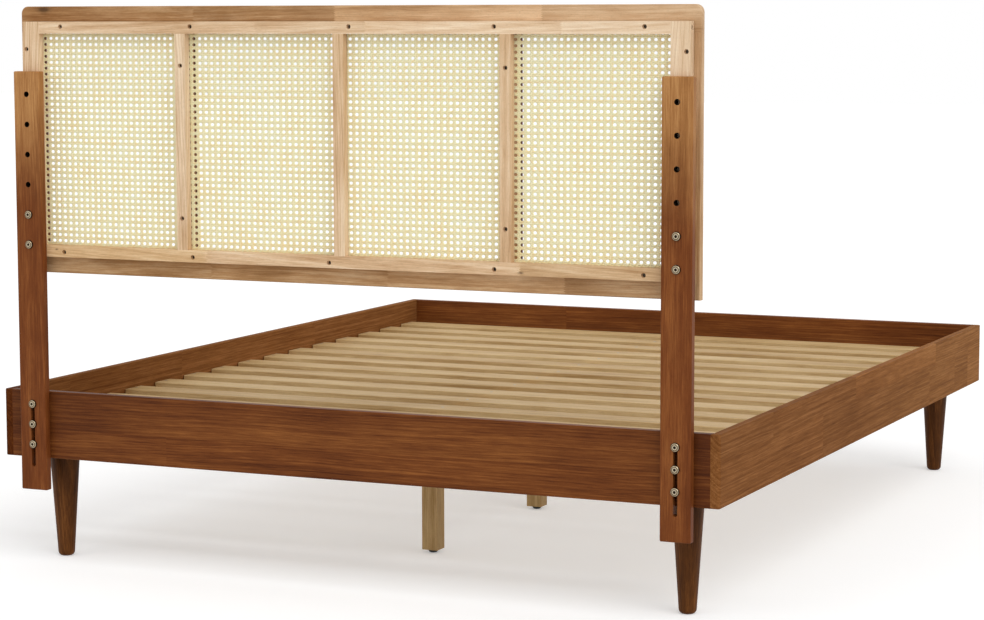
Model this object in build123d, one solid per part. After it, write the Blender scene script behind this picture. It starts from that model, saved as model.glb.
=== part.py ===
from build123d import *
import os

# A bed frame of 160 x 200 cm lying size, with a cane headboard on two bolted posts.
# X runs across the bed, Y along it with the headboard at +Y, Z is up from the floor.
# Left is -X and right is +X, as seen from the foot end. All sizes are millimetres.

# The lying size that the frame is made for, and the free space around it
lying_width = 1600.0
lying_length = 2000.0
lying_gap = 25.0

# Rails: four boards on edge, the end rails held between the side rails
rail_thickness = 20.0
rail_height = 150.0
rail_underside = 236.0
rail_edge_round = 2.0
rail_corner_round = 6.0

# Turned legs under the four corners
leg_inset_side = 98.0
leg_inset_end = 88.0
leg_top_diameter = 68.0
leg_foot_diameter = 36.0
leg_foot_round = 10.0

# Folded steel plates in the corners carry the legs and clamp the rails
plate_thickness = 3.0
plate_lift = 3.0
plate_reach_x = 130.0
plate_reach_y = 120.0
plate_corner_cut = 50.0
flange_gap = 7.0
flange_bolt_near = 35.0
flange_bolt_far = 95.0

# Ledgers along the side rails and slats across them
ledger_width = 25.0
ledger_height = 30.0
ledger_lift = 45.0
ledger_end_gap = 5.0
ledger_screw_count = 8
ledger_screw_margin = 90.0
ledger_screw_rise = 9.0
slat_count = 15
slat_width = 70.0
slat_thickness = 15.0
slat_edge_gap = 40.0
slat_end_gap = 3.0
slat_edge_round = 2.0
slat_screw_bite = 13.5

# Centre beam, its steel hangers and three square legs
beam_width = 35.0
beam_height = 70.0
hanger_thickness = 2.5
hanger_depth = 35.0
hanger_height = 60.0
hanger_ear = 22.0
hanger_screw_inset = 14.0
centre_leg_width = 38.0
centre_leg_spacing = 595.0
glide_diameter = 22.0
glide_height = 8.0
glide_round = 6.0
glide_pin_diameter = 3.0
glide_pin_length = 12.0

# Posts: six holes in a row for the headboard, and a slot over three bolts in the head rail
post_inset = 87.0
post_width = 66.0
post_thickness = 20.0
post_bottom = 166.0
post_height = 927.0
post_edge_round = 3.0
post_hole_count = 6
post_hole_pitch = 66.0
post_hole_from_top = 50.0
post_hole_diameter = 12.0
slot_width = 10.0
slot_bolt_pitch = 45.0
slot_bolt_rise = 2.5
slot_travel = 46.0
slot_end_clearance = 0.3

# Headboard, front frame of stained wood
headboard_bottom = 649.0
headboard_height = 585.0
headboard_overhang = 2.5
headboard_corner_round = 16.0
front_thickness = 18.0
front_rail_height = 57.0
front_stile_width = 52.5
front_mullion_width = 45.0
front_edge_round = 2.0
mullion_spacing = 380.0

# Headboard, back frame of raw battens that clamps the cane
back_thickness = 18.0
back_inset = 15.5
back_drop = 33.0
back_lift = 37.0
back_stile_width = 42.0
back_batten_height = 26.0
back_mullion_width = 25.0

# Cane webbing: each gap in the solid stands for four of the real weave
cane_thickness = 2.0
cane_lap = 9.0
cane_columns = 12
cane_rows = 17
cane_gap_diameter = 17.0
cane_gap_sides = 8

# Fasteners
bolt_diameter = 8.0
bolt_head_diameter = 19.0
bolt_head_height = 4.5
bolt_head_round = 4.0
bolt_socket = 6.0
bolt_socket_depth = 3.0
insert_diameter = 12.0
insert_length = 14.0
plate_bolt_diameter = 6.0
plate_bolt_head_diameter = 12.0
plate_bolt_head_height = 3.5
plate_insert_diameter = 10.0
plate_insert_length = 12.0
plate_bolt_socket = 4.0
nut_width = 13.0
nut_height = 6.5
hanger_bolt_bite = 45.0
hanger_bolt_rise = 12.0
screw_diameter = 4.0
screw_head_diameter = 8.0
screw_bite = 14.0
screw_recess_diameter = 10.0
batten_screw_recess = 7.0
batten_screw_bite = 12.0
batten_screw_level = 11.0
batten_screw_corner = 55.0
batten_screw_offset = 25.0
mullion_screw_reach = 68.0
stile_screw_drop = 60.0
stile_screw_inset = 9.0
frame_screw_bite = 18.0
dowel_diameter = 8.0
dowel_bite = 20.0
dowel_pitch = 28.0
frame_dowel_pitch = 22.0
back_dowel_diameter = 6.0
back_dowel_bite = 9.0
side_dowel_bite = 12.0
bolt_clearance = 0.5
fit_clearance = 0.1
hole_spare = 1.0

# Worked out from the sizes above
SIDES = {"left": -1, "right": 1}
ENDS = {"foot": -1, "head": 1}
inner_width = lying_width + 2 * lying_gap
inner_length = lying_length + 2 * lying_gap
bed_width = inner_width + 2 * rail_thickness
bed_length = inner_length + 2 * rail_thickness
overall_depth = bed_length + post_thickness + bolt_head_height
foot_face = -overall_depth / 2
head_face = foot_face + bed_length
foot_inner = foot_face + rail_thickness
head_inner = head_face - rail_thickness
bed_middle = (foot_inner + head_inner) / 2
rail_top = rail_underside + rail_height
rail_middle = rail_underside + rail_height / 2
plate_underside = rail_underside + plate_lift
plate_top = plate_underside + plate_thickness
ledger_bottom = rail_underside + ledger_lift
ledger_top = ledger_bottom + ledger_height
slat_top = ledger_top + slat_thickness
ledger_screw_level = ledger_bottom + ledger_screw_rise
beam_bottom = ledger_top - beam_height
flange_top = ledger_bottom - flange_gap
flange_bolt_level = (plate_top + flange_top) / 2
post_x = bed_width / 2 - post_inset
post_top = post_bottom + post_height
post_face = head_face + post_thickness
headboard_half = post_x + post_width / 2 + headboard_overhang
headboard_top = headboard_bottom + headboard_height
back_face = head_face
cane_back = back_face - back_thickness
front_back = cane_back - cane_thickness
front_face = front_back - front_thickness
front_rail_low = headboard_top - front_rail_height
front_rail_high = headboard_bottom + front_rail_height
bottom_dowel_level = headboard_bottom + front_rail_height / 2
front_stile_inner = headboard_half - front_stile_width
front_stile_x = headboard_half - front_stile_width / 2
back_half = headboard_half - back_inset
back_top = headboard_top - back_drop
back_bottom = headboard_bottom + back_lift
window_top = back_top - back_batten_height
window_bottom = back_bottom + back_batten_height
stile_inner = back_half - back_stile_width
bolt_radius = bolt_diameter / 2
slot_play = slot_width / 2 - bolt_radius - slot_end_clearance
slot_bolt_levels = [rail_middle + slot_bolt_rise + step * slot_bolt_pitch for step in (-1, 0, 1)]
post_hole_levels = [post_top - post_hole_from_top - step * post_hole_pitch for step in range(post_hole_count)]
headboard_bolt_levels = post_hole_levels[-2:]


def end_inner(end):
    """Inner face of the head or foot rail."""
    return head_inner if end > 0 else foot_inner


def block(x, y, z):
    """A box between pairs of coordinates."""
    middle = [(low + high) / 2 for low, high in (x, y, z)]
    return Pos(*middle) * Box(abs(x[1] - x[0]), abs(y[1] - y[0]), abs(z[1] - z[0]))


def mirrored_span(side, near, far):
    """A span on one side of the bed's middle plane, lowest first."""
    return sorted((side * near, side * far))


def rod(point, direction, length, diameter):
    """A round bar from a point along a row axis."""
    plane = Plane(origin=point, z_dir=direction)
    return plane * Cylinder(diameter / 2, length, align=(Align.CENTER, Align.CENTER, Align.MIN))


def moved(point, direction, distance):
    """A point carried along a direction."""
    return tuple(place + distance * part for place, part in zip(point, direction))


def hole(point, direction, length, diameter):
    """A drilling tool that starts a little outside the face."""
    return rod(moved(point, direction, -hole_spare), direction, length + hole_spare, diameter)


def bolt(point, direction, length, diameter, head_diameter, head_height, socket):
    """A round-headed socket bolt: the point is under its head, the direction runs down its shank."""
    up = tuple(-part for part in direction)
    head = rod(point, up, head_height, head_diameter)
    crown = head.edges().filter_by(GeomType.CIRCLE).sort_by(Axis(point, up))[-1]
    head = fillet(crown, min(bolt_head_round, 0.9 * head_height))
    recess = Plane(origin=moved(point, up, head_height), z_dir=direction) * extrude(
        RegularPolygon(socket / 2, 6, major_radius=False), min(bolt_socket_depth, 0.7 * head_height))
    return head + rod(point, direction, length, diameter) - recess


def sleeve(point, direction, length, outer, inner):
    """A threaded insert, drawn plain: a tube whose mouth is at the point."""
    return rod(point, direction, length, outer) - hole(point, direction, length + hole_spare, inner)


def screw(point, direction, length):
    """A countersunk wood screw: the point is the middle of its flat head."""
    cone = (screw_head_diameter - screw_diameter) / 2
    head = Plane(origin=point, z_dir=direction) * Cone(
        screw_head_diameter / 2, screw_diameter / 2, cone, align=(Align.CENTER, Align.CENTER, Align.MIN))
    return head + rod(point, direction, length, screw_diameter)


def screw_hole(point, direction, length):
    """The drilled and countersunk hole of a screw, a little wider than it all round."""
    wide = screw_diameter + 2 * fit_clearance
    mouth = screw_head_diameter + 2 * fit_clearance
    cone = (mouth - wide) / 2
    sink = Plane(origin=point, z_dir=direction) * Cone(
        mouth / 2, wide / 2, cone, align=(Align.CENTER, Align.CENTER, Align.MIN))
    return sink + hole(point, direction, length + fit_clearance, wide)


def wider(diameter):
    """A hole's diameter for a piece that fits in it."""
    return diameter + 2 * fit_clearance


def reaches(box, tool):
    """Whether a tool's box meets a shape's box."""
    other = tool.bounding_box()
    near = (other.min.X <= box.max.X, other.min.Y <= box.max.Y, other.min.Z <= box.max.Z,
            box.min.X <= other.max.X, box.min.Y <= other.max.Y, box.min.Z <= other.max.Z)
    return all(near)


def cut(shape, tools):
    """Take the tools that reach a shape away from it, in one go."""
    box = shape.bounding_box()
    near = [tool for tool in tools if reaches(box, tool)]
    return shape - near if near else shape


def corner_round(shape, direction, keep, radius):
    """Round those edges along a direction whose middle passes a test."""
    chosen = [edge for edge in shape.edges().filter_by(direction) if keep(edge.center())]
    return fillet(chosen, radius)


def slot_inserts():
    """Threaded inserts in the head rail's outer face, three behind each post."""
    return [((side * post_x, head_face, level), (0, -1, 0))
            for side in SIDES.values() for level in slot_bolt_levels]


def flange_bolt_places():
    """Where the corner plates' bolts enter the rails: a point on the inner face and a direction."""
    places = []
    for side in SIDES.values():
        for end in ENDS.values():
            for reach in (flange_bolt_near, flange_bolt_far):
                along_end = (side * (inner_width / 2 - reach), end_inner(end), flange_bolt_level)
                along_side = (side * inner_width / 2, end_inner(end) - end * reach, flange_bolt_level)
                places.append((along_end, (0, end, 0)))
                places.append((along_side, (side, 0, 0)))
    return places


def rail_dowels():
    """Dowels between the end rails and the side rails, two at each corner above the ledger."""
    levels = (rail_middle, rail_middle + dowel_pitch)
    places = []
    for side in SIDES.values():
        for end in ENDS.values():
            y = end_inner(end) + end * rail_thickness / 2
            places += [((side * inner_width / 2, y, level), (side, 0, 0)) for level in levels]
    return places


def through_dowel(place, bite_back, bite_on, diameter):
    """A dowel across a joint: it starts behind the joint's plane and ends beyond it."""
    point, direction = place
    return rod(moved(point, direction, -bite_back), direction, bite_back + bite_on, diameter)


def drill_dowels(shape, places, bite_back, bite_on, diameter):
    """Bore a piece for dowels, a little wider and deeper than they are."""
    behind = bite_back + fit_clearance
    beyond = bite_on + fit_clearance
    return cut(shape, [through_dowel(place, behind, beyond, wider(diameter)) for place in places])


def drill_rail(shape):
    """Bore a rail for its corner bolts' inserts and its dowels."""
    depth = plate_insert_length + fit_clearance
    shape = cut(shape, [hole(*place, depth, wider(plate_insert_diameter)) for place in flange_bolt_places()])
    return drill_dowels(shape, rail_dowels(), dowel_bite, side_dowel_bite, dowel_diameter)


def side_rail(side):
    """A full-length board on edge, rounded at its outer corners and along its top."""
    x = mirrored_span(side, inner_width / 2, bed_width / 2)
    board = block(x, (foot_face, head_face), (rail_underside, rail_top))
    board = corner_round(board, Axis.Z, lambda p: side * p.X > bed_width / 2 - 1, rail_corner_round)
    long_edges = board.edges().filter_by(Axis.Y)
    board = fillet(long_edges, rail_edge_round)
    return cut(drill_rail(board), [screw_hole(*place) for place in ledger_screws(side)])


def end_rail(end):
    """A board between the side rails; the head one also takes the posts' bolts."""
    y = sorted((end_inner(end), end_inner(end) + end * rail_thickness))
    board = block((-inner_width / 2, inner_width / 2), y, (rail_underside, rail_top))
    board = fillet(board.edges().filter_by(Axis.X), rail_edge_round)
    board = cut(drill_rail(board), [screw_hole(*place) for place in hanger_screws(end)])
    depth = insert_length + fit_clearance
    return cut(board, [hole(*place, depth, wider(insert_diameter)) for place in slot_inserts()])


def leg_centre(side, end):
    """Centre of a turned leg, in plan."""
    x = side * (bed_width / 2 - leg_inset_side)
    y = end_inner(end) + end * (rail_thickness - leg_inset_end)
    return x, y


def turned_leg(side, end):
    """A round tapered leg with an eased foot, bored from the top for its hanger bolt."""
    x, y = leg_centre(side, end)
    leg = Cone(leg_foot_diameter / 2, leg_top_diameter / 2, plate_underside,
               align=(Align.CENTER, Align.CENTER, Align.MIN))
    foot = leg.edges().filter_by(GeomType.CIRCLE).sort_by(Axis.Z)[0]
    leg = Pos(x, y, 0) * fillet(foot, leg_foot_round)
    depth = hanger_bolt_bite + fit_clearance
    return leg - hole((x, y, plate_underside), (0, 0, -1), depth, wider(bolt_diameter))


def leg_bolt(side, end):
    """A hanger bolt from the leg up through the corner plate."""
    x, y = leg_centre(side, end)
    length = hanger_bolt_bite + plate_thickness + hanger_bolt_rise
    return rod((x, y, plate_underside - hanger_bolt_bite), (0, 0, 1), length, bolt_diameter)


def leg_nut(side, end):
    """The hexagon nut on the corner plate that clamps the leg."""
    x, y = leg_centre(side, end)
    nut = Pos(x, y, plate_top) * extrude(RegularPolygon(nut_width / 2, 6, major_radius=False), nut_height)
    return nut - hole((x, y, plate_top), (0, 0, 1), nut_height + hole_spare, wider(bolt_diameter))


def corner_plate(side, end):
    """A folded steel plate: a floor over the leg and two flanges against the rails."""
    outline = [(0, 0), (plate_reach_x, 0), (plate_reach_x, plate_reach_y - plate_corner_cut),
               (plate_reach_x - plate_corner_cut, plate_reach_y), (0, plate_reach_y)]
    corner = (side * inner_width / 2, end_inner(end))
    points = [(corner[0] - side * x, corner[1] - end * y, plate_underside) for x, y in outline]
    plate = extrude(make_face(Polyline(*points, close=True)), plate_thickness, dir=(0, 0, 1))
    side_flange = block(mirrored_span(side, inner_width / 2 - plate_thickness, inner_width / 2),
                        sorted((corner[1], corner[1] - end * plate_reach_y)), (plate_underside, flange_top))
    end_flange = block(mirrored_span(side, inner_width / 2 - plate_reach_x, inner_width / 2),
                       sorted((corner[1], corner[1] - end * plate_thickness)), (plate_underside, flange_top))
    drills = [rod(moved(point, direction, -2 * plate_thickness), direction, 3 * plate_thickness,
                  plate_bolt_diameter + bolt_clearance) for point, direction in flange_bolt_places()]
    drills.append(rod((*leg_centre(side, end), plate_underside - hole_spare), (0, 0, 1),
                      plate_thickness + 2 * hole_spare, bolt_diameter + bolt_clearance))
    return cut(plate + [side_flange, end_flange], drills)


def plate_bolts():
    """Bolts through the corner plates' flanges into the rails."""
    bolts = []
    for point, direction in flange_bolt_places():
        under_head = moved(point, direction, -plate_thickness)
        bolts.append(bolt(under_head, direction, plate_thickness + plate_insert_length, plate_bolt_diameter,
                          plate_bolt_head_diameter, plate_bolt_head_height, plate_bolt_socket))
    return bolts


def plate_inserts():
    """Threaded inserts in the rails for the corner plates' bolts."""
    return [sleeve(point, direction, plate_insert_length, plate_insert_diameter, wider(plate_bolt_diameter))
            for point, direction in flange_bolt_places()]


def ledger_x(side):
    """Middle of a ledger's width."""
    return side * (inner_width - ledger_width) / 2


def ledger_screws(side):
    """Screws through a ledger into its side rail."""
    first = foot_inner + ledger_screw_margin
    step = (inner_length - 2 * ledger_screw_margin) / (ledger_screw_count - 1)
    x = side * (inner_width / 2 - ledger_width)
    length = ledger_width + screw_bite
    return [((x, first + number * step, ledger_screw_level), (side, 0, 0), length)
            for number in range(ledger_screw_count)]


def slat_middles():
    """Where the slats' middles lie along the bed."""
    first = foot_inner + slat_edge_gap + slat_width / 2
    step = (inner_length - 2 * slat_edge_gap - slat_width) / (slat_count - 1)
    return [first + number * step for number in range(slat_count)]


def slat_screws(y):
    """A slat's three screws: into each ledger and into the centre beam."""
    length = slat_thickness + slat_screw_bite
    return [((x, y, slat_top), (0, 0, -1), length) for x in (ledger_x(-1), 0, ledger_x(1))]


def all_slat_screws():
    """The screws of every slat."""
    return [place for y in slat_middles() for place in slat_screws(y)]


def ledger(side):
    """A batten on a side rail's inner face that carries the slats' ends."""
    x = mirrored_span(side, inner_width / 2 - ledger_width, inner_width / 2)
    y = (foot_inner + ledger_end_gap, head_inner - ledger_end_gap)
    batten = block(x, y, (ledger_bottom, ledger_top))
    places = ledger_screws(side) + all_slat_screws()
    return cut(batten, [screw_hole(*place) for place in places])


def slat(y):
    """One flat slat with eased edges and three countersunk holes."""
    half = inner_width / 2 - slat_end_gap
    board = block((-half, half), (y - slat_width / 2, y + slat_width / 2), (ledger_top, slat_top))
    board = fillet(board.edges().filter_by(Axis.X), slat_edge_round)
    return cut(board, [screw_hole(*place) for place in slat_screws(y)])


def centre_leg_middles():
    """Where the centre legs stand along the bed, foot end first."""
    return [bed_middle + step * centre_leg_spacing for step in (-1, 0, 1)]


def centre_beam():
    """The beam under the slats' middles, held at its ends and stood on three legs."""
    y = (foot_inner + hanger_thickness, head_inner - hanger_thickness)
    beam = block((-beam_width / 2, beam_width / 2), y, (beam_bottom, ledger_top))
    depth = hanger_bolt_bite + fit_clearance
    drills = [screw_hole(*place) for place in all_slat_screws()]
    drills += [hole((0, y_leg, beam_bottom), (0, 0, 1), depth, wider(bolt_diameter))
               for y_leg in centre_leg_middles()]
    return cut(beam, drills)


def beam_hanger(end):
    """A steel stirrup: two cheeks and a shelf around the beam's end, and two ears on the rail."""
    wall = end_inner(end)
    inner = beam_width / 2 + fit_clearance
    outer = inner + hanger_thickness
    low = beam_bottom - hanger_thickness
    high = low + hanger_height
    ears = block((-outer - hanger_ear, outer + hanger_ear),
                 sorted((wall, wall - end * hanger_thickness)), (low, high))
    box = block((-outer, outer), sorted((wall, wall - end * hanger_depth)), (low, high))
    room_y = sorted((wall - end * hanger_thickness, wall - end * (hanger_depth + hole_spare)))
    room = block((-inner, inner), room_y, (beam_bottom, high + hole_spare))
    return cut(ears + box, [room] + [screw_hole(*place) for place in hanger_screws(end)])


def hanger_screws(end):
    """Four screws through a hanger's ears into the rail."""
    x = beam_width / 2 + fit_clearance + hanger_thickness + hanger_ear / 2
    y = end_inner(end) - end * hanger_thickness
    low = beam_bottom - hanger_thickness
    levels = (low + hanger_screw_inset, low + hanger_height - hanger_screw_inset)
    return [((side * x, y, level), (0, end, 0), hanger_thickness + screw_bite)
            for side in SIDES.values() for level in levels]


def centre_leg(y):
    """A square pine leg under the beam, bored for its bolt and its glide's pin."""
    half = centre_leg_width / 2
    leg = block((-half, half), (y - half, y + half), (glide_height, beam_bottom))
    bolt_depth = hanger_bolt_bite + fit_clearance
    pin_depth = glide_pin_length + fit_clearance
    leg -= hole((0, y, beam_bottom), (0, 0, -1), bolt_depth, wider(bolt_diameter))
    return leg - hole((0, y, glide_height), (0, 0, 1), pin_depth, wider(glide_pin_diameter))


def centre_leg_bolt(y):
    """A hanger bolt between a centre leg and the beam."""
    return rod((0, y, beam_bottom - hanger_bolt_bite), (0, 0, 1), 2 * hanger_bolt_bite, bolt_diameter)


def centre_glide(y):
    """A round plastic glide with its pin, under a centre leg."""
    disc = rod((0, y, 0), (0, 0, 1), glide_height, glide_diameter)
    rim = disc.edges().filter_by(GeomType.CIRCLE).sort_by(Axis.Z)[0]
    disc = fillet(rim, glide_round)
    return disc + rod((0, y, glide_height), (0, 0, 1), glide_pin_length, glide_pin_diameter)


def post(side):
    """An upright board on the head rail's outer face, with its slot and its row of holes."""
    x = side * post_x
    board = block((x - post_width / 2, x + post_width / 2), (head_face, post_face), (post_bottom, post_top))
    board = fillet(board.edges(), post_edge_round)
    start = head_face - hole_spare
    depth = post_thickness + 2 * hole_spare
    slot_high = slot_bolt_levels[-1] - slot_play
    slot_low = slot_bolt_levels[0] - slot_travel + slot_play
    half = slot_width / 2
    holes = [rod((x, start, level), (0, 1, 0), depth, post_hole_diameter) for level in post_hole_levels]
    ends = [rod((x, start, level), (0, 1, 0), depth, slot_width) for level in (slot_low, slot_high)]
    slot = block((x - half, x + half), (start, start + depth), (slot_low, slot_high))
    return board - [*holes, *ends, slot]


def post_bolt(x, level, length):
    """A bolt whose head bears on a post's outer face."""
    return bolt((x, post_face, level), (0, -1, 0), length, bolt_diameter,
                bolt_head_diameter, bolt_head_height, bolt_socket)


def slot_bolts():
    """Three bolts through each post's slot into the head rail."""
    return [post_bolt(side * post_x, level, post_thickness + insert_length)
            for side in SIDES.values() for level in slot_bolt_levels]


def headboard_bolts():
    """Two bolts through each post and back stile into the front stile."""
    length = post_face - front_back + insert_length
    return [post_bolt(side * post_x, level, length)
            for side in SIDES.values() for level in headboard_bolt_levels]


def headboard_insert_places():
    """Mouths of the threaded inserts in the front stiles."""
    return [((side * post_x, front_back, level), (0, -1, 0))
            for side in SIDES.values() for level in headboard_bolt_levels]


def frame_joints():
    """Dowels of the front frame: two where each upright meets the top rail and the bottom rail."""
    y = front_back - front_thickness / 2
    places = []
    for side in SIDES.values():
        for offset in (-frame_dowel_pitch / 2, frame_dowel_pitch / 2):
            places.append(((side * front_stile_x + offset, y, front_rail_low), (0, 0, 1)))
            places.append(((side * front_stile_inner, y, bottom_dowel_level + offset), (side, 0, 0)))
            places.append(((side * mullion_spacing + offset, y, front_rail_low), (0, 0, 1)))
            places.append(((side * mullion_spacing + offset, y, front_rail_high), (0, 0, -1)))
    return places


def back_joints():
    """Dowels of the back frame: one where each mullion meets a batten."""
    y = cane_back + back_thickness / 2
    places = []
    for x in (-mullion_spacing, 0, mullion_spacing):
        places.append(((x, y, window_top), (0, 0, 1)))
        places.append(((x, y, window_bottom), (0, 0, -1)))
    return places


def batten_screw_places():
    """Recessed screws that hold the back frame to the front frame."""
    rows = [(back_top - batten_screw_level, -1), (back_bottom + batten_screw_level, 1)]
    places = []
    for level, turn in rows:
        for side in SIDES.values():
            places.append((side * (stile_inner - batten_screw_corner), level))
            places.append((side * (mullion_spacing - batten_screw_offset), level))
        places.append((turn * batten_screw_offset, level))
    for side in SIDES.values():
        places.append((side * mullion_spacing, window_top - mullion_screw_reach))
        places.append((side * mullion_spacing, window_bottom + mullion_screw_reach))
        places.append((side * (back_half - stile_screw_inset), back_top - stile_screw_drop))
    return [(x, back_face - batten_screw_recess, z) for x, z in places]


def batten_screw_length():
    """From a screw's recessed head to its point in the front frame."""
    return back_thickness - batten_screw_recess + cane_thickness + batten_screw_bite


def frame_screw_places():
    """Screws through the back stiles' outer edges into the battens' ends."""
    levels = (back_top - back_batten_height / 2, back_bottom + back_batten_height / 2)
    y = cane_back + back_thickness / 2
    return [((side * (back_half - batten_screw_recess), y, level), (-side, 0, 0))
            for side in SIDES.values() for level in levels]


def frame_screw_length():
    """From a frame screw's recessed head to its point in a batten."""
    return back_stile_width - batten_screw_recess + frame_screw_bite


def drill_headboard(shape):
    """Bore a headboard piece for every screw that reaches it, with a recess over each head."""
    places = [(point, (0, -1, 0), batten_screw_length()) for point in batten_screw_places()]
    places += [(*place, frame_screw_length()) for place in frame_screw_places()]
    depth = batten_screw_recess + hole_spare
    recesses = [rod(moved(point, direction, -depth), direction, depth, screw_recess_diameter)
                for point, direction, _ in places]
    return cut(shape, [screw_hole(*place) for place in places] + recesses)


def finish_front(shape, outer_edge):
    """Ease a front frame piece's outer edges, then bore it for its dowels and screws."""
    front_edges = [edge for edge in shape.edges()
                   if abs(edge.center().Y - (front_face + front_back) / 2) > 1 and outer_edge(edge.center())]
    shape = fillet(front_edges, front_edge_round)
    shape = drill_dowels(shape, frame_joints(), dowel_bite, dowel_bite, dowel_diameter)
    return drill_headboard(shape)


def front_top_rail():
    """The full-width top rail of the front frame, with its two rounded corners."""
    rail = block((-headboard_half, headboard_half), (front_face, front_back), (front_rail_low, headboard_top))
    rail = corner_round(rail, Axis.Y, lambda p: p.Z > headboard_top - 1, headboard_corner_round)
    return finish_front(rail, lambda p: p.Z > front_rail_low + 1)


def front_bottom_rail():
    """The bottom rail of the front frame, between the stiles."""
    rail = block((-front_stile_inner, front_stile_inner), (front_face, front_back),
                 (headboard_bottom, front_rail_high))
    return finish_front(rail, lambda p: p.Z < headboard_bottom + 1)


def front_stile(side):
    """An outer upright of the front frame, from the bottom up to the top rail."""
    x = mirrored_span(side, front_stile_inner, headboard_half)
    stile = block(x, (front_face, front_back), (headboard_bottom, front_rail_low))
    stile = finish_front(stile, lambda p: side * p.X > headboard_half - 1 or p.Z < headboard_bottom + 1)
    depth = insert_length + fit_clearance
    return cut(stile, [hole(*place, depth, wider(insert_diameter)) for place in headboard_insert_places()])


def front_mullion(x):
    """An inner upright of the front frame, between the rails."""
    half = front_mullion_width / 2
    mullion = block((x - half, x + half), (front_face, front_back), (front_rail_high, front_rail_low))
    mullion = drill_dowels(mullion, frame_joints(), dowel_bite, dowel_bite, dowel_diameter)
    return drill_headboard(mullion)


def back_stile(side):
    """A full-height stile of the back frame, bored for the post bolts."""
    x = mirrored_span(side, stile_inner, back_half)
    stile = block(x, (cane_back, back_face), (back_bottom, back_top))
    drills = [rod(moved(point, direction, -back_thickness - cane_thickness - hole_spare), direction,
                  back_thickness + 2 * hole_spare, bolt_diameter + 2 * bolt_clearance)
              for point, direction in headboard_insert_places()]
    return drill_headboard(cut(stile, drills))


def back_batten(low, high):
    """A batten of the back frame between the stiles."""
    batten = block((-stile_inner, stile_inner), (cane_back, back_face), (low, high))
    batten = drill_dowels(batten, back_joints(), back_dowel_bite, back_dowel_bite, back_dowel_diameter)
    return drill_headboard(batten)


def back_mullion(x):
    """An upright of the back frame between the battens."""
    half = back_mullion_width / 2
    upright = block((x - half, x + half), (cane_back, back_face), (window_bottom, window_top))
    upright = drill_dowels(upright, back_joints(), back_dowel_bite, back_dowel_bite, back_dowel_diameter)
    return drill_headboard(upright)


def cane_windows():
    """The four openings of the back frame, left to right, as pairs of X."""
    half = back_mullion_width / 2
    edges = [-stile_inner]
    for x in (-mullion_spacing, 0, mullion_spacing):
        edges += [x - half, x + half]
    edges.append(stile_inner)
    return list(zip(edges[0::2], edges[1::2]))


def cane_lap_beside(x):
    """How far the webbing runs on past a window's side, short of the screws there."""
    return back_mullion_width / 2 if abs(x) < back_mullion_width else cane_lap


def cane_panel(low_x, high_x):
    """One flat holed sheet of webbing over a window; the inner two meet at the middle mullion."""
    width = high_x - low_x
    height = window_top - window_bottom
    middle = ((low_x + high_x) / 2, cane_back, (window_top + window_bottom) / 2)
    flat = Plane(origin=middle, x_dir=(1, 0, 0), z_dir=(0, -1, 0))
    gap = RegularPolygon(cane_gap_diameter / 2, cane_gap_sides, major_radius=False,
                         rotation=180 / cane_gap_sides)
    spots = GridLocations(width / cane_columns, height / cane_rows, cane_columns, cane_rows)
    gaps = [(flat * spot * gap).wire() for spot in spots]
    low_lap = cane_lap_beside(low_x)
    high_lap = cane_lap_beside(high_x)
    sheet = Pos((high_lap - low_lap) / 2, 0) * Rectangle(width + low_lap + high_lap, height + 2 * cane_lap)
    return extrude(Face((flat * sheet).wire(), gaps), cane_thickness, dir=(0, -1, 0))


def save(name, pieces):
    """Write one sub-part, a single piece or a list of like ones."""
    if isinstance(pieces, list):
        pieces = Compound([solid for piece in pieces for solid in piece.solids()])
    export_step(pieces, f"parts/{name}.step")


os.makedirs("parts", exist_ok=True)
corners = [(side, end) for side in SIDES.values() for end in ENDS.values()]

for name, side in SIDES.items():
    save(f"side_rail_{name}", side_rail(side))
    save(f"slat_ledger_{name}", ledger(side))
    save(f"post_{name}", post(side))
    save(f"front_stile_{name}", front_stile(side))
    save(f"front_mullion_{name}", front_mullion(side * mullion_spacing))
    save(f"back_stile_{name}", back_stile(side))
    save(f"back_mullion_{name}", back_mullion(side * mullion_spacing))
    for end_name, end in ENDS.items():
        save(f"leg_{end_name}_{name}", turned_leg(side, end))
        save(f"corner_plate_{end_name}_{name}", corner_plate(side, end))

for name, end in ENDS.items():
    save(f"{name}_rail", end_rail(end))
    save(f"beam_hanger_{name}", beam_hanger(end))

save("slats", [slat(y) for y in slat_middles()])
save("slat_screws", [screw(*place) for place in all_slat_screws()])
save("ledger_screws", [screw(*place) for side in SIDES.values() for place in ledger_screws(side)])
save("hanger_screws", [screw(*place) for end in ENDS.values() for place in hanger_screws(end)])
save("leg_bolts", [leg_bolt(*corner) for corner in corners])
save("leg_nuts", [leg_nut(*corner) for corner in corners])
save("plate_bolts", plate_bolts())
save("plate_inserts", plate_inserts())
save("rail_dowels", [through_dowel(place, dowel_bite, side_dowel_bite, dowel_diameter)
                     for place in rail_dowels()])

save("centre_beam", centre_beam())
for name, y in zip(("foot", "middle", "head"), centre_leg_middles()):
    save(f"centre_leg_{name}", centre_leg(y))
    save(f"centre_glide_{name}", centre_glide(y))
save("centre_leg_bolts", [centre_leg_bolt(y) for y in centre_leg_middles()])

save("slot_bolts", slot_bolts())
save("slot_inserts", [sleeve(*place, insert_length, insert_diameter, wider(bolt_diameter))
                      for place in slot_inserts()])
save("headboard_bolts", headboard_bolts())
save("headboard_inserts", [sleeve(*place, insert_length, insert_diameter, wider(bolt_diameter))
                           for place in headboard_insert_places()])

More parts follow.
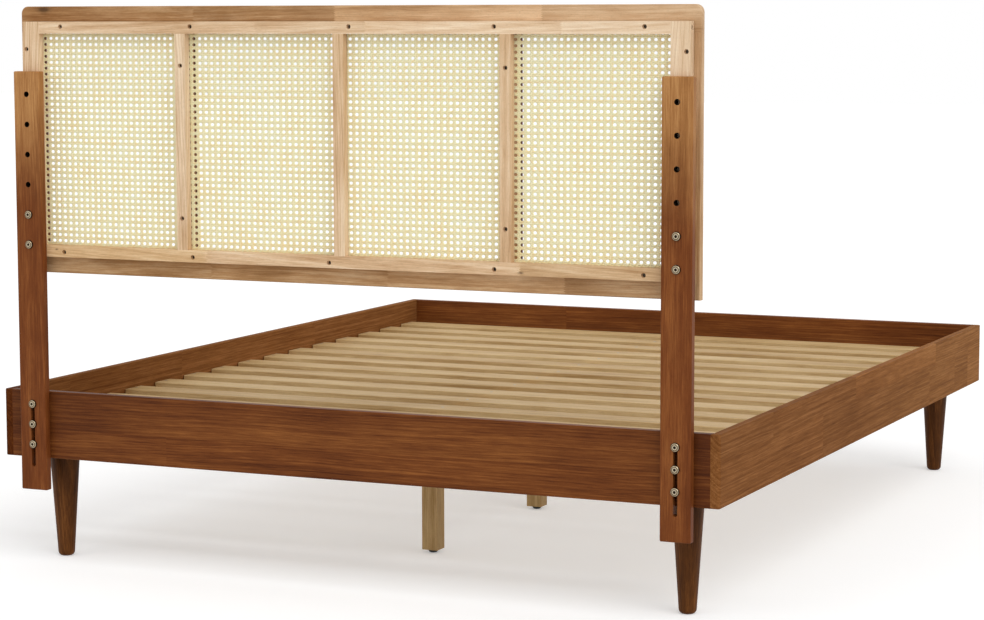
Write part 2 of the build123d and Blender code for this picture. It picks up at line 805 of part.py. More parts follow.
save("front_top_rail", front_top_rail())
save("front_bottom_rail", front_bottom_rail())
save("front_frame_dowels", [through_dowel(place, dowel_bite, dowel_bite, dowel_diameter)
                            for place in frame_joints()])
save("back_top_batten", back_batten(window_top, back_top))
save("back_bottom_batten", back_batten(back_bottom, window_bottom))
save("back_mullion_middle", back_mullion(0))
save("back_frame_dowels", [through_dowel(place, back_dowel_bite, back_dowel_bite, back_dowel_diameter)
                           for place in back_joints()])
save("batten_screws", [screw(point, (0, -1, 0), batten_screw_length()) for point in batten_screw_places()])
save("frame_screws", [screw(*place, frame_screw_length()) for place in frame_screw_places()])
for number, window in enumerate(cane_windows(), 1):
    save(f"cane_panel_{number}", cane_panel(*window))
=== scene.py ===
import math

import bpy
from mathutils import Matrix, Vector


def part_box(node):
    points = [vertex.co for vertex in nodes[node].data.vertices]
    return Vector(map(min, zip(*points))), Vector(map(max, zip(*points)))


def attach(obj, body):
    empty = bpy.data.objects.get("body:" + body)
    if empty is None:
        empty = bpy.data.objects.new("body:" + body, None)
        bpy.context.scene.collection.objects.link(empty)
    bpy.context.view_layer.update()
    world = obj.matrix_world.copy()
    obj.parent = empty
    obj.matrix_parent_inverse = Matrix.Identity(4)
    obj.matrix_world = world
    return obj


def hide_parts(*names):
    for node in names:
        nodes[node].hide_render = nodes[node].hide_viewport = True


# A bed frame with a cane headboard. Metres, +Z up, the headboard at +Y, left is -X.
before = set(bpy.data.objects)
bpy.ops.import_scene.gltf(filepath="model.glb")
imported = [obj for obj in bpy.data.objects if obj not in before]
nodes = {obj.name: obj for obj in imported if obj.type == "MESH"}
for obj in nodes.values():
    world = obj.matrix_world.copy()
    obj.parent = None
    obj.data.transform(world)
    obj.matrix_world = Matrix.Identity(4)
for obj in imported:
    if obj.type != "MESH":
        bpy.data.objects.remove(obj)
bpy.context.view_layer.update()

# Camera: fitted to the photograph's straight edges
CAMERA_AT = Vector((-2.6002, 6.0234, 1.2094))
CAMERA_YAW = math.radians(24.267)
CAMERA_PITCH = math.radians(6.211)
CAMERA_ROLL = math.radians(-0.104)
LENS_MM = 98.52
SENSOR_MM = 36.0
CAMERA_REACH = 200.0

# Light: an even world and two wide suns
WORLD_STRENGTH = 0.67
KEY_STRENGTH = 1.2
KEY_FROM = Vector((-0.75, 0.55, 0.9))
FILL_STRENGTH = 0.3
FILL_FROM = Vector((0.5, 0.8, 0.5))
SUN_ANGLE = math.radians(50)
FLOOR_ALBEDO = 0.8
FLOOR_LIFT = 0.32
FLOOR_SIZE = 60.0
FLOOR_ROUGHNESS = 0.9

# Wood figure: noise scales along, across and through a board
WANDER_SCALE = (1.6, 6.0, 6.0)
STREAK_SCALE = (2.6, 120.0, 120.0)
FIBRE_SCALE = (18.0, 620.0, 620.0)
CLOUD_SCALE = (3.4, 14.0, 14.0)
BLOTCH_SCALE = (7.0, 26.0, 26.0)
PORE_SCALE = (160.0, 2300.0, 2300.0)
SEED_SHIFT = (1.7, 0.313, 0.171)
TONE_STOPS = (0.08, 0.5, 0.92)
BLOTCH_STOPS = [(0.42, 0.0), (0.66, 1.0)]
PORE_STOPS = [(0.58, 1.0), (0.72, 1.0 - 0.3)]
KNOT_STOPS = [(0.25, 0.75), (0.6, 0.25), (1.0, 0.0)]
RINGS_PER_METRE = 210.0
RING_WANDER = 0.035
SEGMENT_SHIFT = 0.7
COMB_HALF = 0.0022
OTHER_LAMELLA = 10.0
KNOT_SLIMNESS = 0.45
KNOT_WAVER = 0.9
FADE_DRIFT = 0.2
ROUGHNESS_SWING = 0.2
PORE_SINK = -0.8
GRAIN_DEPTH = 0.0003
SURFACE_STRENGTH = 0.5
METAL_GRAIN = 900.0
NICKEL_GRAIN = 500.0
NICKEL_ROUGHNESS = (0.16, 0.1)
METAL_DEPTH = 0.00004

# The posts' holes and bolts
BOLT_ROW_X = 0.758
HOLE_ROW = (0.713, 0.066)
SLOT_ROW = (0.2685, 0.045)
HOLE_REACH = 0.0062

# The front frame's stain: its depth from the front, less deep on the outer edge. Deeper elsewhere, the
# stained tones also cover the inner sides beside the windows, where they are painted shade.
STAIN_AND_SHADE_INNER_Y = 1.0122
STAIN_EDGE_Y = 0.9965
FRAME_EDGE = 0.79

# Cane weave: metres, in the headboard's plane
CANE_PITCH_X = 0.01444
CANE_PITCH_Z = 0.01303
CANE_PHASE_X = 0.0021
CANE_PHASE_Z = 0.9493
PAIR_HALF_X = 0.0019
PAIR_HALF_Z = 0.00168
STRAND_WIDTH = 0.0033
STRAND_THICKNESS = 0.0005
DIAGONAL_WIDTH = 0.0029
WEAVE_LIFT = 0.00028
DIAGONAL_LIFT = 0.00055
CANE_ROUGHNESS = 0.48
STRAND_TONE = 0.5
STRAND_TONE_SWING = 0.22


def colour(red, green, blue):
    """A display colour from 0 to 255, as linear RGBA."""
    linear = []
    for value in (red, green, blue):
        share = value / 255
        linear.append(share / 12.92 if share <= 0.04045 else ((share + 0.055) / 1.055) ** 2.4)
    return (*linear, 1.0)


class Graph:
    """A material's node tree, with short calls for the nodes used here."""

    def __init__(self, name):
        self.material = bpy.data.materials.new(name)
        self.material.use_nodes = True
        self.tree = self.material.node_tree
        self.tree.nodes.clear()
        self.output = self.node("ShaderNodeOutputMaterial")
        self.shader = self.node("ShaderNodeBsdfPrincipled")
        self.link(self.shader.outputs[0], self.output.inputs["Surface"])

    def node(self, kind, **settings):
        made = self.tree.nodes.new(kind)
        for key, value in settings.items():
            setattr(made, key, value)
        return made

    def link(self, source, target):
        self.tree.links.new(source, target)

    def put(self, socket, value):
        """Set a socket to a number, or link it to an output."""
        if isinstance(value, bpy.types.NodeSocket):
            self.link(value, socket)
        else:
            socket.default_value = value

    def math(self, operation, first, second=0.0, third=0.0):
        made = self.node("ShaderNodeMath", operation=operation)
        for socket, value in zip(made.inputs, (first, second, third)):
            self.put(socket, value)
        return made.outputs[0]

    def place(self):
        """The piece's own coordinates: metres in the row frame at rest."""
        return self.node("ShaderNodeTexCoord").outputs["Object"]

    def turned(self, axis):
        """Coordinates with the grain's axis first, then across and through the board."""
        split = self.node("ShaderNodeSeparateXYZ")
        self.link(self.place(), split.inputs[0])
        order = {"X": "XZY", "Y": "YZX", "Z": "ZXY"}[axis]
        return [split.outputs[letter] for letter in order]

    def vector(self, *parts):
        made = self.node("ShaderNodeCombineXYZ")
        for socket, value in zip(made.inputs, parts):
            self.put(socket, value)
        return made.outputs[0]

    def scaled(self, vector, scale, shift=(0.0, 0.0, 0.0)):
        made = self.node("ShaderNodeMapping")
        self.link(vector, made.inputs["Vector"])
        made.inputs["Scale"].default_value = scale
        made.inputs["Location"].default_value = shift
        return made.outputs[0]

    def noise(self, vector, scale=1.0, detail=2.0, roughness=0.5):
        made = self.node("ShaderNodeTexNoise")
        self.link(vector, made.inputs["Vector"])
        made.inputs["Scale"].default_value = scale
        made.inputs["Detail"].default_value = detail
        made.inputs["Roughness"].default_value = roughness
        return made.outputs["Fac"]

    def ramp(self, factor, stops):
        """Colours or greys between positions from 0 to 1."""
        made = self.node("ShaderNodeValToRGB")
        elements = made.color_ramp.elements
        while len(elements) < len(stops):
            elements.new(0.5)
        for element, (position, shade) in zip(elements, stops):
            element.position = position
            element.color = shade if isinstance(shade, tuple) else (shade, shade, shade, 1.0)
        self.put(made.inputs[0], factor)
        return made.outputs["Color"]

    def tones(self, level, shades):
        """A dark, a middle and a light tone by a level around 0.5."""
        return self.ramp(level, list(zip(TONE_STOPS, shades)))

    def mix(self, factor, first, second, blend="MIX"):
        made = self.node("ShaderNodeMix", data_type="RGBA", blend_type=blend)
        self.put(made.inputs[0], factor)
        self.put(made.inputs[6], first)
        self.put(made.inputs[7], second)
        return made.outputs[2]

    def bump(self, height, distance, strength):
        made = self.node("ShaderNodeBump")
        made.inputs["Strength"].default_value = strength
        made.inputs["Distance"].default_value = distance
        self.link(height, made.inputs["Height"])
        self.link(made.outputs[0], self.shader.inputs["Normal"])

    def rough(self, unevenness, middle):
        """A roughness around its middle value."""
        uneven = self.math("MULTIPLY_ADD", unevenness, ROUGHNESS_SWING, middle - ROUGHNESS_SWING / 2)
        self.link(uneven, self.shader.inputs["Roughness"])

    def plain(self, **values):
        """Uniform values on the shader's own sockets."""
        for name, value in values.items():
            self.shader.inputs[name.replace("_", " ")].default_value = value


def around(graph, value, amount):
    """A noise value as a signed swing."""
    return graph.math("MULTIPLY", graph.math("SUBTRACT", value, 0.5), amount)


def segment_of(graph, along, across, joints, lamella, teeth):
    """Which glued segment of a board a point is in: 0, 1, 2 along it, and 10 on beyond the lamella line."""
    comb = graph.math("MULTIPLY", graph.math("PINGPONG", across, COMB_HALF), teeth / COMB_HALF)
    reach = graph.math("ADD", along, comb)
    count = 0.0
    for joint in joints:
        count = graph.math("ADD", graph.math("GREATER_THAN", reach, joint), count)
    if lamella is None:
        return count
    level, other_joints = lamella
    beyond = graph.math("GREATER_THAN", across, level)
    others = OTHER_LAMELLA
    for joint in other_joints:
        others = graph.math("ADD", graph.math("GREATER_THAN", reach, joint), others)
    return graph.math("MULTIPLY_ADD", beyond, graph.math("SUBTRACT", others, count), count)


def length_of(graph, first, second):
    """The length of the vector with two parts."""
    return graph.math("SQRT", graph.math("ADD", graph.math("MULTIPLY", first, first),
                                         graph.math("MULTIPLY", second, second)))


def from_row(graph, first, pitch):
    """How far a point is from the nearest centre of a row of bolts or holes up the posts."""
    split = graph.node("ShaderNodeSeparateXYZ")
    graph.link(graph.place(), split.inputs[0])
    side = graph.math("SUBTRACT", graph.math("ABSOLUTE", split.outputs[0]), BOLT_ROW_X)
    rise = graph.math("SUBTRACT", split.outputs[2], first - pitch / 2)
    rise = graph.math("SUBTRACT", graph.math("FLOORED_MODULO", rise, pitch), pitch / 2)
    return length_of(graph, side, rise)


def faded(graph, base, along, drift, start, end, amount, others):
    """A colour that turns into another one along a board."""
    turn = graph.node("ShaderNodeMapRange", interpolation_type="SMOOTHSTEP")
    graph.link(graph.math("ADD", along, drift), turn.inputs["Value"])
    turn.inputs["From Min"].default_value = start
    turn.inputs["From Max"].default_value = end
    turn.inputs["To Max"].default_value = amount
    return graph.mix(turn.outputs[0], base, others)


def knotted(graph, base, along, across, waver, knot):
    """A colour with a dark oval spot, given as (along, across, size)."""
    spot_along, spot_across, size = knot
    near_along = graph.math("MULTIPLY", graph.math("SUBTRACT", along, spot_along), KNOT_SLIMNESS / size)
    near_across = graph.math("DIVIDE", graph.math("SUBTRACT", across, spot_across), size)
    length = graph.node("ShaderNodeVectorMath", operation="LENGTH")
    graph.link(graph.vector(near_along, near_across, 0.0), length.inputs[0])
    ripple = graph.math("ADD", length.outputs["Value"], waver)
    return graph.mix(graph.ramp(ripple, KNOT_STOPS), base, KNOT_TONE)


def wood(node, tones, axis, seed, swings=(0.3, 0.35, 0.45, 0.5), heart=(0.6, -1.6), lean=0.01,
         roughness=0.5, gloss=0.1, joints=(), lamella=None, teeth=0.0, shade_swing=0.06,
         blotch=0.0, front=None, knots=(), fades=(), holes=False):
    """Planed wood for one node.

    tones are its dark, middle and light colours; swings those of rings, streaks, fibres and clouds; heart
    is the middle of the growth rings, in board widths and thicknesses from the board's middle; lean is
    the grain's slope; joints, lamella and teeth are the glued segments' ends, line and comb length;
    front is the tones of the stained front, also laid on the inner sides as painted shade; knots are dark
    spots, as (along, across, size); fades are where along the board it takes other tones, as (start,
    end, amount, tones); holes paints shade into the row of holes, darkening them.
    """
    graph = Graph(f"wood_{node}")
    low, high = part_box(node)
    order = {"X": (0, 2, 1), "Y": (1, 2, 0), "Z": (2, 0, 1)}[axis]
    along, across, through = graph.turned(axis)
    wide, thick = [high[part] - low[part] for part in order[1:]]
    middle_across, middle_through = [(high[part] + low[part]) / 2 for part in order[1:]]
    segment = segment_of(graph, along, across, joints, lamella, teeth)
    pick = graph.node("ShaderNodeTexWhiteNoise", noise_dimensions="2D")
    graph.link(graph.vector(segment, seed, 0.0), pick.inputs["Vector"])
    chance = pick.outputs["Value"]
    shift = tuple(seed * part for part in SEED_SHIFT)
    place = graph.vector(along, across, graph.math("MULTIPLY_ADD", chance, SEGMENT_SHIFT, through))

    wander = graph.noise(graph.scaled(place, WANDER_SCALE, shift), 1.0, 2.0, 0.5)
    off = graph.math("MULTIPLY_ADD", along, lean, -middle_across - heart[0] * wide)
    off = graph.math("ADD", graph.math("ADD", across, off), around(graph, wander, RING_WANDER))
    off = graph.math("ADD", off, around(graph, chance, wide))
    depth = graph.math("SUBTRACT", through, middle_through + heart[1] * thick)
    radius = length_of(graph, off, depth)
    rings = graph.node("ShaderNodeTexNoise", noise_dimensions="1D")
    graph.link(graph.math("MULTIPLY_ADD", radius, RINGS_PER_METRE, seed), rings.inputs["W"])
    rings.inputs["Scale"].default_value = 1.0
    rings.inputs["Detail"].default_value = 3.0
    rings.inputs["Roughness"].default_value = 0.6

    streaks = graph.noise(graph.scaled(place, STREAK_SCALE, shift), 1.0, 3.0, 0.6)
    fibres = graph.noise(graph.scaled(place, FIBRE_SCALE, shift), 1.0, 4.0, 0.65)
    clouds = graph.noise(graph.scaled(place, CLOUD_SCALE, shift), 1.0, 4.0, 0.6)
    level = 0.5
    for part, swing in zip((rings.outputs["Fac"], streaks, fibres, clouds), swings):
        level = graph.math("ADD", around(graph, part, 2 * swing), level)
    base = graph.tones(level, tones)
    if blotch:
        stain = graph.noise(graph.scaled(place, BLOTCH_SCALE, shift), 1.0, 5.0, 0.7)
        base = graph.mix(graph.math("MULTIPLY", graph.ramp(stain, BLOTCH_STOPS), blotch),
                         base, tones[0])
    for start, end, amount, others in fades:
        drift = around(graph, clouds, min(FADE_DRIFT, abs(end - start)))
        base = faded(graph, base, along, drift, start, end, amount, graph.tones(level, others))
    for knot in knots:
        base = knotted(graph, base, along, across, around(graph, streaks, KNOT_WAVER), knot)
    # The stained tones: real stain on the front, and painted shade on the inner sides where they reach
    # deeper
    if front:
        outer = graph.math("GREATER_THAN", graph.math("ABSOLUTE", across), FRAME_EDGE)
        limit = graph.math("MULTIPLY_ADD", outer, STAIN_EDGE_Y - STAIN_AND_SHADE_INNER_Y, STAIN_AND_SHADE_INNER_Y)
        base = graph.mix(graph.math("LESS_THAN", through, limit), base, graph.tones(level, front))
    # Painted shade: the insides of the posts' holes darkened to near black
    if holes:
        inside = graph.math("MULTIPLY", graph.math("LESS_THAN", from_row(graph, *HOLE_ROW), HOLE_REACH),
                            graph.math("GREATER_THAN", along, HOLE_ROW[0] - HOLE_ROW[1] / 2))
        base = graph.mix(inside, base, PAINTED_HOLE_SHADE)
    dashes = graph.noise(graph.scaled(place, PORE_SCALE, shift), 1.0, 2.0, 0.5)
    pore = graph.ramp(dashes, PORE_STOPS)
    base = graph.mix(1.0, base, pore, "MULTIPLY")
    if joints:
        shade = graph.math("MULTIPLY_ADD", chance, 2 * shade_swing, 1.0 - shade_swing)
        base = graph.mix(1.0, base, graph.vector(shade, shade, shade), "MULTIPLY")
    graph.link(base, graph.shader.inputs["Base Color"])
    graph.rough(fibres, roughness)
    graph.bump(graph.math("MULTIPLY_ADD", dashes, PORE_SINK, fibres), GRAIN_DEPTH, SURFACE_STRENGTH)
    graph.plain(Specular_IOR_Level=gloss)
    dress(graph.material, node)


def dress(material, *names):
    """Give CAD nodes a material."""
    for name in names:
        for slot in nodes[name].material_slots:
            slot.link = "OBJECT"
            slot.material = material


# Wood finishes: dark, middle and light
RAIL_TONES = (colour(72, 32, 8), colour(112, 61, 25), colour(150, 92, 44))
RAIL_END_TONES = (colour(50, 18, 4), colour(84, 40, 12), colour(116, 66, 28))
SIDE_TONES = (colour(86, 46, 18), colour(128, 81, 42), colour(164, 112, 68))
POST_TONES = (colour(80, 36, 10), colour(118, 63, 27), colour(158, 98, 50))
POST_TOP_TONES = (colour(122, 74, 34), colour(170, 118, 68), colour(204, 154, 98))
LEG_TONES = (colour(50, 24, 4), colour(88, 50, 18), colour(130, 80, 36))
FRAME_TONES = (colour(132, 90, 48), colour(176, 133, 88), colour(214, 178, 136))
FRAME_DARK_TONES = (colour(96, 58, 28), colour(140, 96, 56), colour(182, 138, 92))
FRAME_PALE_TONES = (colour(172, 132, 92), colour(206, 168, 128), colour(230, 198, 160))
BATTEN_TONES = (colour(184, 142, 100), colour(220, 186, 148), colour(244, 220, 188))
BATTEN_DARK_TONES = (colour(168, 128, 82), colour(206, 168, 122), colour(232, 202, 160))
BATTEN_PALE_TONES = (colour(204, 168, 130), colour(234, 206, 172), colour(250, 232, 206))
PINE_TONES = (colour(156, 120, 72), colour(194, 162, 114), colour(218, 190, 144))
KNOT_TONE = colour(66, 44, 26)
# Painted shade for the insides of the posts' holes
PAINTED_HOLE_SHADE = colour(26, 14, 6)
# The front frame's stain, also used as painted shade on its inner sides beside the windows
STAIN_AND_PAINTED_SHADE = (colour(70, 34, 12), colour(104, 60, 28), colour(150, 98, 52))

# Swings of rings, streaks, fibres and clouds
CALM = (0.3, 0.3, 0.5, 0.25)
LIVELY = (0.4, 0.22, 0.5, 0.6)
EVEN = (0.22, 0.16, 0.5, 0.5)
MOTTLED = (0.3, 0.2, 0.5, 0.9)

wood("head_rail", RAIL_TONES, "X", 3.1, heart=(0.9, -3.0), joints=(0.428,), lamella=(0.301, ()),
     fades=((0.3, 0.83, 0.75, RAIL_END_TONES), (-0.72, -0.8, 0.9, RAIL_END_TONES)))
wood("foot_rail", RAIL_TONES, "X", 5.3, heart=(-0.8, 3.0), joints=(-0.2,), lamella=(0.318, (0.35,)))
wood("side_rail_left", SIDE_TONES, "Y", 8.2, swings=CALM, roughness=0.7, gloss=0.03, heart=(0.7, -4.0),
     joints=(-0.924, -0.79, -0.543, 0.35), teeth=0.004, lamella=(0.335, (-0.6, 0.1, 0.7)), shade_swing=0.08,
     fades=((0.4, -1.0, 0.3, POST_TOP_TONES),))
wood("side_rail_right", SIDE_TONES, "Y", 9.6, swings=CALM, roughness=0.7, gloss=0.03, heart=(-0.7, 4.0),
     joints=(-0.7, -0.2, 0.5), teeth=0.004, lamella=(0.32, (-0.4, 0.3, 0.8)), shade_swing=0.08,
     fades=((0.9, 1.0, 1.0, RAIL_END_TONES),))
wood("post_left", POST_TONES, "Z", 12.4, swings=EVEN, blotch=0.25, holes=True, heart=(0.4, -1.5), lean=0.03,
     fades=((0.74, 1.06, 1.0, POST_TOP_TONES),))
wood("post_right", POST_TONES, "Z", 14.1, swings=EVEN, blotch=0.25, holes=True, heart=(-0.3, -1.2),
     lean=-0.04, fades=((0.74, 1.1, 0.95, POST_TOP_TONES),))
for number, corner in enumerate(("head_left", "head_right", "foot_left", "foot_right")):
    wood(f"leg_{corner}", LEG_TONES, "Z", 20.6 + number, heart=(0.2, -0.3), lean=0.05)
wood("front_top_rail", FRAME_TONES, "X", 30.7, swings=MOTTLED, joints=(-0.45, 0.02, 0.36), teeth=0.005,
     shade_swing=0.08, blotch=0.5, front=STAIN_AND_PAINTED_SHADE, knots=((0.735, 1.226, 0.012),),
     fades=((0.35, -0.5, 0.95, FRAME_PALE_TONES), (0.35, 0.78, 1.0, FRAME_DARK_TONES)))
wood("front_bottom_rail", FRAME_TONES, "X", 31.9, swings=MOTTLED, joints=(-0.5, -0.1, 0.322), teeth=0.005,
     shade_swing=0.08, blotch=0.4, front=STAIN_AND_PAINTED_SHADE, fades=((0.6, -0.6, 0.35, FRAME_PALE_TONES),))
for number, name in enumerate(("front_stile_left", "front_stile_right", "front_mullion_left",
                               "front_mullion_right")):
    wood(name, FRAME_TONES, "Z", 36.2 + number, swings=MOTTLED, blotch=0.3, front=STAIN_AND_PAINTED_SHADE,
         fades=((0.7, 1.05, 0.9, FRAME_PALE_TONES),))
wood("back_top_batten", BATTEN_TONES, "X", 42.9, swings=LIVELY, joints=(-0.5, -0.06, 0.2), teeth=0.005,
     shade_swing=0.05, lean=0.06, fades=((0.1, -0.6, 0.6, BATTEN_PALE_TONES),))
wood("back_bottom_batten", BATTEN_TONES, "X", 44.3, swings=LIVELY, joints=(-0.41, 0.322), teeth=0.005,
     shade_swing=0.05, lean=-0.08, knots=((-0.415, 0.692, 0.004), (0.70, 0.703, 0.003)),
     fades=((0.30, 0.34, 0.9, BATTEN_DARK_TONES), (-0.40, -0.42, 0.5, BATTEN_DARK_TONES)))
wood("back_stile_left", BATTEN_TONES, "Z", 50.3, swings=LIVELY, lean=0.07,
     fades=((0.7, 0.8, 0.6, BATTEN_PALE_TONES),))
wood("back_stile_right", BATTEN_TONES, "Z", 51.3, swings=(0.6, 0.3, 0.5, 0.5), heart=(0.4, -0.6), lean=0.08)
wood("back_mullion_left", BATTEN_TONES, "Z", 52.3, swings=LIVELY, lean=0.01,
     fades=((0.8, 1.1, 0.2, BATTEN_DARK_TONES),))
wood("back_mullion_middle", BATTEN_TONES, "Z", 53.3, swings=LIVELY, lean=-0.02,
     fades=((0.8, 1.1, 0.3, BATTEN_DARK_TONES),))
wood("back_mullion_right", BATTEN_TONES, "Z", 54.3, swings=LIVELY, lean=-0.05,
     fades=((0.7, 0.8, 1.0, BATTEN_PALE_TONES),))
wood("slats", PINE_TONES, "X", 60.1, lean=0.004)
wood("centre_beam", PINE_TONES, "Y", 62.4)
wood("slat_ledger_left", PINE_TONES, "Y", 63.3)
wood("slat_ledger_right", PINE_TONES, "Y", 64.8)
for number, name in enumerate(("centre_leg_head", "centre_leg_middle", "centre_leg_foot")):
    wood(name, PINE_TONES, "Z", 66.5 + number)
for number, name in enumerate(("rail_dowels", "front_frame_dowels", "back_frame_dowels")):
    wood(name, BATTEN_TONES, "X", 70.0 + number)


def metal(name, tint, roughness, speckle, metallic, *names):
    """Plated or coated metal, or plastic, with faint uneven gloss and a fine surface."""
    graph = Graph(name)
    cloud = graph.noise(graph.scaled(graph.place(), (METAL_GRAIN,) * 3), 1.0, 3.0, 0.6)
    dark = tuple(part * (1 - speckle) for part in tint[:3]) + (1.0,)
    graph.link(graph.ramp(cloud, [(0.3, dark), (0.6, tint)]), graph.shader.inputs["Base Color"])
    graph.rough(cloud, roughness)
    graph.bump(cloud, METAL_DEPTH, SURFACE_STRENGTH)
    graph.plain(Metallic=metallic)
    dress(graph.material, *names)


def nickel(name, *bolts, first, pitch):
    """Bright plated button heads in rows up the posts, with painted light in their colour: painted shade in
    the socket, painted highlight rings, and a painted shadow and reflection round the rim.
    """
    graph = Graph(name)
    radius = from_row(graph, first, pitch)
    cloud = graph.noise(graph.scaled(graph.place(), (NICKEL_GRAIN,) * 3), 1.0, 3.0, 0.6)
    reach = graph.math("ADD", graph.math("MULTIPLY", radius, 100.0), around(graph, cloud, 0.14))
    # Painted light by distance from each bolt's centre: painted shade in the socket, a painted highlight
    # ring at its edge, a darker painted reflection across the dome, a painted highlight ring near the rim,
    # and a painted shadow and reflection round the rim
    shades = graph.ramp(reach, [(0.28, colour(40, 32, 24)), (0.36, colour(206, 192, 166)),
                                (0.44, colour(196, 182, 156)), (0.52, colour(84, 70, 52)),
                                (0.66, colour(110, 96, 74)), (0.78, colour(186, 172, 146)),
                                (0.84, colour(92, 76, 56)), (0.92, colour(40, 28, 20))])
    graph.link(shades, graph.shader.inputs["Base Color"])
    graph.link(graph.math("MULTIPLY_ADD", cloud, *NICKEL_ROUGHNESS), graph.shader.inputs["Roughness"])
    graph.bump(cloud, 0.00003, 0.4)
    graph.plain(Metallic=1.0)
    dress(graph.material, *bolts)


nickel("nickel_slot_bolts_painted_light", "slot_bolts", first=SLOT_ROW[0], pitch=SLOT_ROW[1])
nickel("nickel_headboard_bolts_painted_light", "headboard_bolts", first=HOLE_ROW[0], pitch=HOLE_ROW[1])
metal("bright_nickel", colour(176, 168, 154), 0.22, 0.25, 1.0, "plate_bolts")
metal("plain_brass", colour(196, 158, 88), 0.32, 0.2, 1.0,
      "slot_inserts", "headboard_inserts", "plate_inserts")
metal("zinc_screws", colour(170, 168, 160), 0.4, 0.3, 1.0,
      "slat_screws", "ledger_screws", "hanger_screws", "leg_bolts", "leg_nuts", "centre_leg_bolts")
metal("dark_screws", colour(70, 62, 54), 0.4, 0.4, 1.0, "batten_screws", "frame_screws")
metal("black_coated_steel", colour(38, 38, 40), 0.5, 0.2, 0.0,
      "beam_hanger_head", "beam_hanger_foot", "corner_plate_head_left", "corner_plate_head_right",
      "corner_plate_foot_left", "corner_plate_foot_right")
metal("black_plastic", colour(26, 26, 27), 0.45, 0.3, 0.0,
      "centre_glide_head", "centre_glide_middle", "centre_glide_foot")


def cane_material():
    """Natural cane: pale straw strands with fine streaks and slight differences from strand to strand."""
    graph = Graph("natural_cane")
    tone = graph.node("ShaderNodeAttribute", attribute_name="strand_tone").outputs["Fac"]
    place = graph.place()
    cloud = graph.noise(graph.scaled(place, (30.0, 30.0, 30.0)), 1.0, 2.0, 0.5)
    grain = graph.noise(graph.scaled(place, (1500.0, 1500.0, 1500.0)), 1.0, 3.0, 0.6)
    level = graph.math("ADD", tone, around(graph, cloud, 0.5))
    level = graph.math("ADD", level, around(graph, grain, 0.45))
    straw = graph.ramp(level, [(0.1, colour(255, 228, 168)), (0.5, colour(255, 246, 198)),
                               (0.9, colour(255, 253, 222))])
    graph.link(straw, graph.shader.inputs["Base Color"])
    graph.rough(grain, CANE_ROUGHNESS)
    graph.bump(grain, 0.0001, 0.4)
    graph.plain(Specular_IOR_Level=0.3)
    return graph.material


class Weave:
    """A growing mesh of flat strands in the plane of a window."""

    def __init__(self, low, high):
        self.low = low
        self.high = high
        self.middle_y = (low.y + high.y) / 2
        self.points = []
        self.faces = []
        self.tones = []

    def strand(self, line, width, tone):
        """A ribbon with a slightly crowned face along (x, z, lift) points."""
        start = len(self.points)
        first, last = line[0], line[-1]
        run = Vector((last[0] - first[0], last[1] - first[1])).normalized()
        side = Vector((-run.y, run.x)) * width / 2
        for x, z, lift in line:
            y = self.middle_y + lift
            self.points.append((x - side.x, y, z - side.y))
            self.points.append((x, y + STRAND_THICKNESS / 2, z))
            self.points.append((x + side.x, y, z + side.y))
            self.points.append((x, y - STRAND_THICKNESS / 2, z))
            self.tones += [tone] * 4
        for step in range(len(line) - 1):
            near = start + 4 * step
            for edge in range(4):
                after = (edge + 1) % 4
                self.faces.append((near + edge, near + after, near + 4 + after, near + 4 + edge))
        end = start + 4 * (len(line) - 1)
        self.faces.append((start + 3, start + 2, start + 1, start))
        self.faces.append((end, end + 1, end + 2, end + 3))


def steps_between(low, high, pitch, phase):
    """Lattice counts whose place lies between two coordinates."""
    first = math.ceil((low - phase) / pitch)
    last = math.floor((high - phase) / pitch)
    return range(first, last + 1)


def tone_of(kind, count):
    """A steady pseudo-random tone for a strand."""
    turn = math.sin(12.9898 * count + 78.233 * kind) * math.cos(4.1414 * count * kind + 1.7)
    return STRAND_TONE + STRAND_TONE_SWING * turn


def weave_straight(weave, upright):
    """The pairs of strands along one direction, over and under the pairs across them."""
    if upright:
        reach = (weave.low.z, weave.high.z)
        spread = (weave.low.x, weave.high.x)
        own, other = (CANE_PITCH_X, CANE_PHASE_X, PAIR_HALF_X), (CANE_PITCH_Z, CANE_PHASE_Z, PAIR_HALF_Z)
    else:
        reach = (weave.low.x, weave.high.x)
        spread = (weave.low.z, weave.high.z)
        own, other = (CANE_PITCH_Z, CANE_PHASE_Z, PAIR_HALF_Z), (CANE_PITCH_X, CANE_PHASE_X, PAIR_HALF_X)
    margin = STRAND_WIDTH / 2
    for count in steps_between(spread[0], spread[1], own[0], own[1]):
        for member in (-1, 1):
            across = own[1] + count * own[0] + member * own[2]
            if not spread[0] + margin < across < spread[1] - margin:
                continue
            line = [(reach[0], 0.0)]
            for knot in steps_between(reach[0] + margin, reach[1] - margin, other[0], other[1]):
                middle = other[1] + knot * other[0]
                turn = member if upright else -member
                line.append((middle - other[2], -turn * WEAVE_LIFT))
                line.append((middle + other[2], turn * WEAVE_LIFT))
                line.append((middle + other[0] / 2, 0.0))
            line = [point for point in line if reach[0] <= point[0] < reach[1]] + [(reach[1], 0.0)]
            tone = tone_of(2 * member + upright, count)
            path = [(across, at, lift) if upright else (at, across, lift) for at, lift in line]
            weave.strand(path, STRAND_WIDTH, tone)


